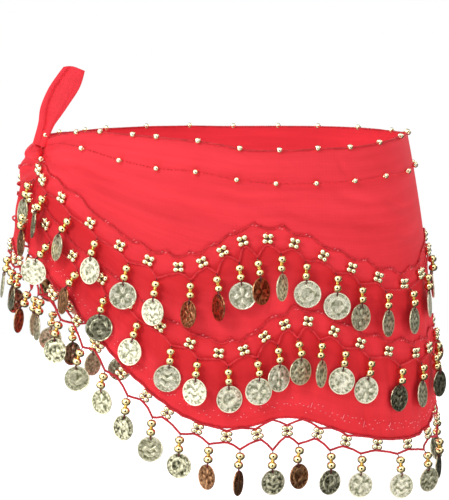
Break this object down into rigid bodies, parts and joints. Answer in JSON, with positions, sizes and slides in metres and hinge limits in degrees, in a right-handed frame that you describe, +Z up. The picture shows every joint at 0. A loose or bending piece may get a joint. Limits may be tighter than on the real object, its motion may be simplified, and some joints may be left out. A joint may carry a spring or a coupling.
{
  "type": "belly dance hip scarf",
  "caption": "Red chiffon hip scarf in its worn form, knotted at the left hip, with three rows of gold coin drops on beaded thread nets.",
  "frame": {"origin": "middle of the waist opening, at the level of the top edge, where the wearer's hips hold the scarf", "axes": "+Z up, front towards -Y, knot at -X"},
  "size_m": [0.3964, 0.2918, 0.3767],
  "materials": {
    "cloth": "matt red chiffon with a fine weave",
    "thread": "red crochet thread",
    "coins": "pale gold plated, stamped"
  },
  "bodies": {
    "root": {"scarf_front": "cloth", "scarf_back": "cloth", "knot": "cloth", "tie_end": "cloth", "row_1_front": "coins", "row_1_back": "coins", "row_2_front": "coins", "row_2_back": "coins", "row_3_front": "coins", "row_3_back": "coins"}
  },
  "joints": []
}
